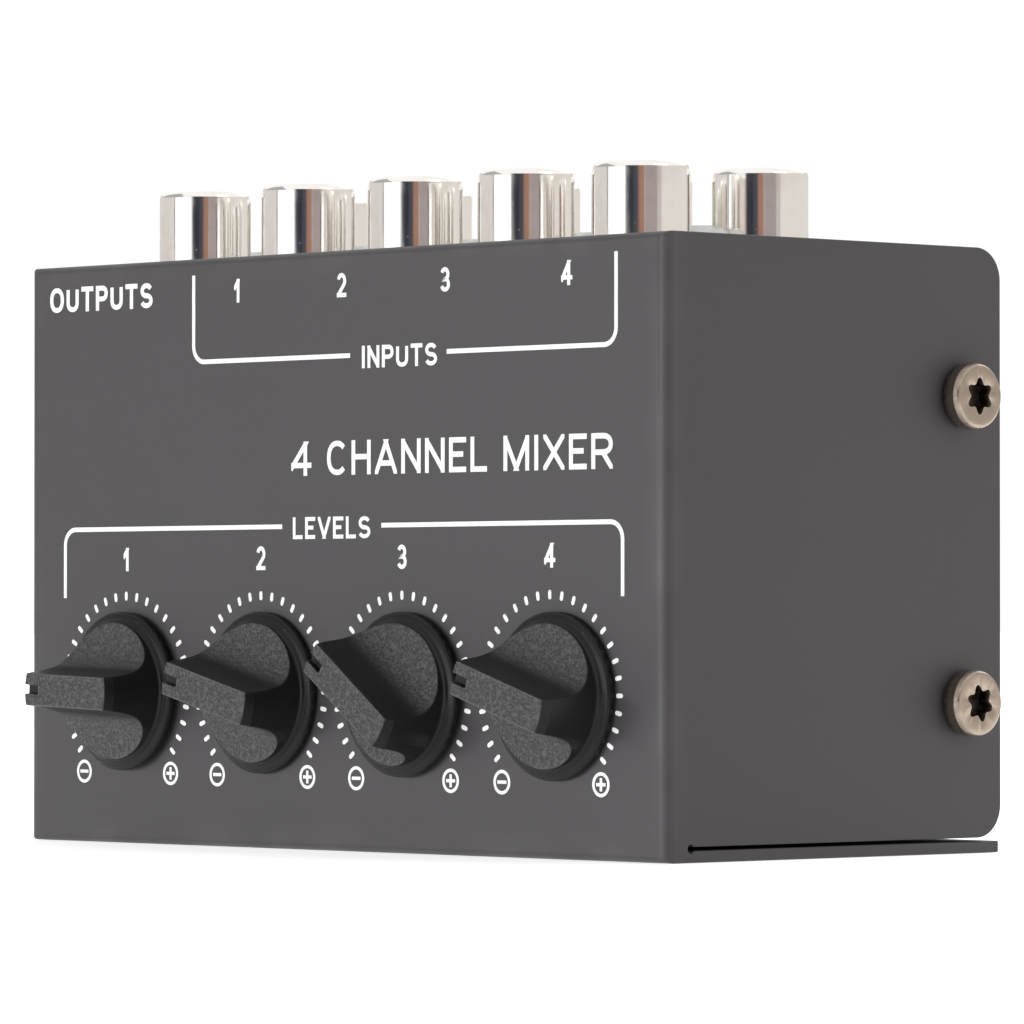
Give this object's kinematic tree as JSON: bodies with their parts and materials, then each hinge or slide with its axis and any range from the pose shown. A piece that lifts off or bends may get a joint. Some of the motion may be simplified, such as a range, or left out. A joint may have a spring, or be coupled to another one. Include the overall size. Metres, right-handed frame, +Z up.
{
  "type": "audio mixer",
  "caption": "Pocket-size passive stereo line mixer: folded steel box with pointer-knob level controls on the front and phono jacks on top.",
  "frame": {"origin": "middle of the box's underside, where it stands", "axes": "+X to the right along the front panel, +Y from the front panel to the rear cover, +Z up through the jacks"},
  "size_m": [0.086, 0.0473, 0.0581],
  "materials": {
    "satin_grey_paint": "satin",
    "screw_steel": "bright",
    "bright_nickel": "polished",
    "pot_case_grey": "dull cast",
    "housing_black": "satin",
    "insert_white": "satin",
    "insert_red": "satin",
    "knob_black": "fine grain",
    "board_green": "solder resist",
    "resistor_tan": "lacquered"
  },
  "bodies": {
    "chassis": {"front_shell": "satin_grey_paint", "rear_cover": "satin_grey_paint", "cover_screw_left_lower": "screw_steel", "cover_screw_left_upper": "screw_steel", "cover_screw_right_lower": "screw_steel", "cover_screw_right_upper": "screw_steel", "jack_housing_out": "housing_black", "jack_screw_out": "screw_steel", "jack_barrel_out_front": "bright_nickel", "jack_insert_out_front": "insert_red", "jack_barrel_out_rear": "bright_nickel", "jack_insert_out_rear": "insert_white", "jack_housing_in_1": "housing_black", "jack_screw_in_1": "screw_steel", "jack_barrel_in_1_front": "bright_nickel", "jack_insert_in_1_front": "insert_red", "jack_barrel_in_1_rear": "bright_nickel", "jack_insert_in_1_rear": "insert_white", "jack_housing_in_2": "housing_black", "jack_screw_in_2": "screw_steel", "jack_barrel_in_2_front": "bright_nickel", "jack_insert_in_2_front": "insert_red", "jack_barrel_in_2_rear": "bright_nickel", "jack_insert_in_2_rear": "insert_white", "jack_housing_in_3": "housing_black", "jack_screw_in_3": "screw_steel", "jack_barrel_in_3_front": "bright_nickel", "jack_insert_in_3_front": "insert_red", "jack_barrel_in_3_rear": "bright_nickel", "jack_insert_in_3_rear": "insert_white", "jack_housing_in_4": "housing_black", "jack_screw_in_4": "screw_steel", "jack_barrel_in_4_front": "bright_nickel", "jack_insert_in_4_front": "insert_red", "jack_barrel_in_4_rear": "bright_nickel", "jack_insert_in_4_rear": "insert_white", "pot_case_1": "pot_case_grey", "pot_case_2": "pot_case_grey", "pot_case_3": "pot_case_grey", "pot_case_4": "pot_case_grey", "jack_board": "board_green", "control_board": "board_green", "board_header": "housing_black", "resistor_1_left": "resistor_tan", "resistor_1_right": "resistor_tan", "resistor_2_left": "resistor_tan", "resistor_2_right": "resistor_tan", "resistor_3_left": "resistor_tan", "resistor_3_right": "resistor_tan", "resistor_4_left": "resistor_tan", "resistor_4_right": "resistor_tan"},
    "level_1": {"knob_1": "knob_black", "pot_shaft_1": "screw_steel"},
    "level_2": {"knob_2": "knob_black", "pot_shaft_2": "screw_steel"},
    "level_3": {"knob_3": "knob_black", "pot_shaft_3": "screw_steel"},
    "level_4": {"knob_4": "knob_black", "pot_shaft_4": "screw_steel"}
  },
  "joints": [
    {"name": "level_1_turn", "type": "hinge", "parent": "chassis", "child": "level_1", "pos_m": [-0.027, -0.02, 0.0135], "axis": [0, 1, 0], "range_deg": [-52, 228]},
    {"name": "level_2_turn", "type": "hinge", "parent": "chassis", "child": "level_2", "pos_m": [-0.0086, -0.02, 0.0135], "axis": [0, 1, 0], "range_deg": [-64, 216]},
    {"name": "level_3_turn", "type": "hinge", "parent": "chassis", "child": "level_3", "pos_m": [0.0098, -0.02, 0.0135], "axis": [0, 1, 0], "range_deg": [-86, 194]},
    {"name": "level_4_turn", "type": "hinge", "parent": "chassis", "child": "level_4", "pos_m": [0.0282, -0.02, 0.0135], "axis": [0, 1, 0], "range_deg": [-67, 213]}
  ]
}
